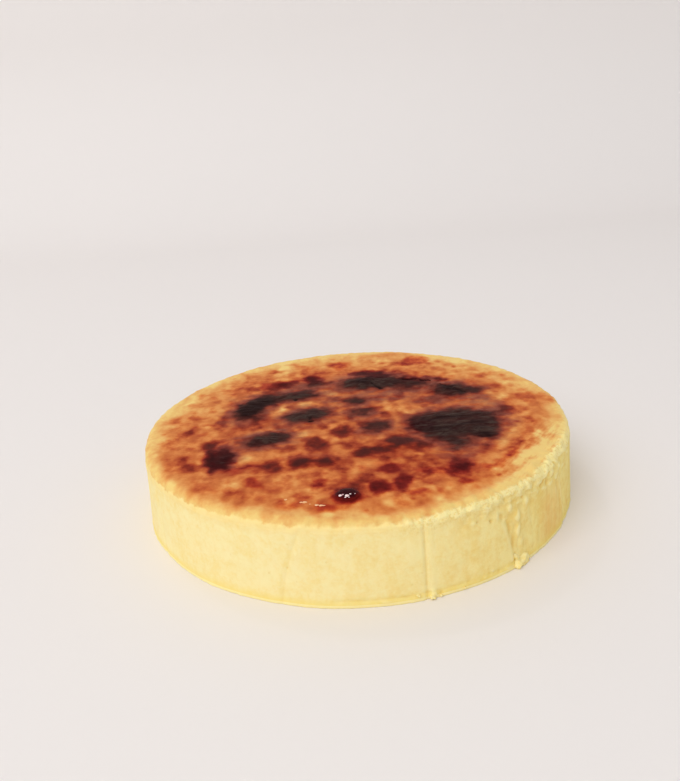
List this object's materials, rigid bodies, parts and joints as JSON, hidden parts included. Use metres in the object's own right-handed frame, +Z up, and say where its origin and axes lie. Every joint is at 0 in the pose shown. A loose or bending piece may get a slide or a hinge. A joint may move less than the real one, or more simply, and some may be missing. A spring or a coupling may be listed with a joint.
{
  "type": "basque cheesecake",
  "caption": "Whole round basque cheesecake with a scorched brown top, a pale yellow wall creased by baking paper and a torn crumbly rim.",
  "frame": {"origin": "middle of the flat base", "axes": "+Z up out of the browned top; -Y towards the side with the torn rim and the sharp crease, which faces the viewer; +X to the viewer's right"},
  "size_m": [0.1802, 0.181, 0.0337],
  "materials": {
    "baked_custard": "soft satin, pale yellow baked custard with a browned, partly blackened and glossy top"
  },
  "bodies": {
    "root": {"cheesecake": "baked_custard"}
  },
  "joints": []
}
